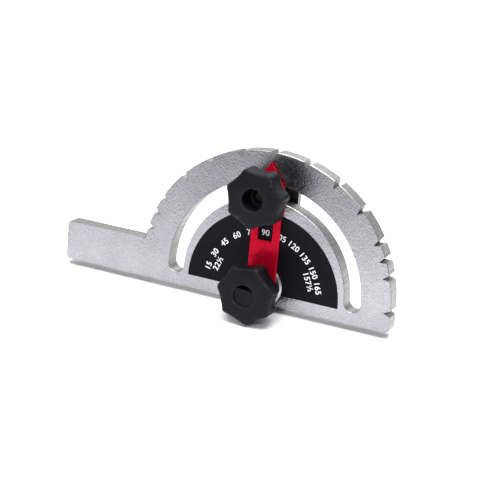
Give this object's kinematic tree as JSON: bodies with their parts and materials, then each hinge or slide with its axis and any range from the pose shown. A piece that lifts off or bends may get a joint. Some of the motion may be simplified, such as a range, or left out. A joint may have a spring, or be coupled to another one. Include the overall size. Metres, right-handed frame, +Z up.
{
  "type": "sliding bevel",
  "caption": "Protractor bevel: notched half-round steel plate with an arm, a scale, a pointer that swings along a curved slot, and lobed knobs that clamp it.",
  "frame": {"origin": "centre of the footprint box of the tool standing on its lower knob and rear bar, at the surface it stands on", "axes": "+Z up, +X right along the plate (the arm points to -X), +Y towards the back; the plate leans back by 7.86 degrees"},
  "size_m": [0.2134, 0.0542, 0.0948],
  "materials": {
    "zinc_plated_steel": "satin, mottled zinc plate",
    "label_black": "printed film with white numbers",
    "brass": "turned",
    "red_paint": "gloss",
    "bar_steel": "dull, dark",
    "facing_black": "matt",
    "sleeve_steel": "turned",
    "glide_nylon": "matt",
    "black_oxide_steel": "black oxide",
    "bright_steel": "bright zinc plate",
    "knob_plastic": "fine moulded texture"
  },
  "bodies": {
    "plate": {"protractor_plate": "zinc_plated_steel", "scale_label": "label_black", "pivot_bush": "brass"},
    "pointer_arm": {"pointer": "red_paint", "rear_bar": "bar_steel", "bar_facing": "facing_black", "slot_sleeve": "sleeve_steel", "turning_washer": "bright_steel", "sliding_washer": "glide_nylon", "pivot_bolt": "black_oxide_steel", "clamp_bolt": "black_oxide_steel"},
    "pivot_washer_body": {"pivot_washer": "bright_steel"},
    "clamp_washer_body": {"clamp_washer": "bright_steel"},
    "pivot_knob_body": {"pivot_knob": "knob_plastic", "pivot_knob_insert": "brass", "pivot_knob_cap": "knob_plastic"},
    "clamp_knob_body": {"clamp_knob": "knob_plastic", "clamp_knob_insert": "brass"}
  },
  "joints": [
    {"name": "pointer_swing", "type": "hinge", "parent": "plate", "child": "pointer_arm", "pos_m": [0.02675, -0.00046, 0.01566], "axis": [0, -0.9906, 0.1368], "range_deg": [-89, 89]},
    {"name": "pivot_washer_lift", "type": "slide", "parent": "pointer_arm", "child": "pivot_washer_body", "axis": [0, -0.9906, 0.1368], "range_m": [0, 0.00378]},
    {"name": "pivot_knob_turn", "type": "hinge", "parent": "pivot_washer_body", "child": "pivot_knob_body", "pos_m": [0.02675, -0.00046, 0.01566], "axis": [0, -0.9906, 0.1368], "range_deg": [0, 1080]},
    {"name": "clamp_washer_lift", "type": "slide", "parent": "pointer_arm", "child": "clamp_washer_body", "axis": [0, -0.9906, 0.1368], "range_m": [0, 0.00378]},
    {"name": "clamp_knob_turn", "type": "hinge", "parent": "clamp_washer_body", "child": "clamp_knob_body", "pos_m": [0.02675, 0.0073, 0.07183], "axis": [0, -0.9906, 0.1368], "range_deg": [0, 1080]}
  ],
  "couplings": [
    {"joint": "pivot_washer_lift", "follows": "pivot_knob_turn", "m_per_rad": 0.00019894},
    {"joint": "clamp_washer_lift", "follows": "clamp_knob_turn", "m_per_rad": 0.00019894}
  ]
}
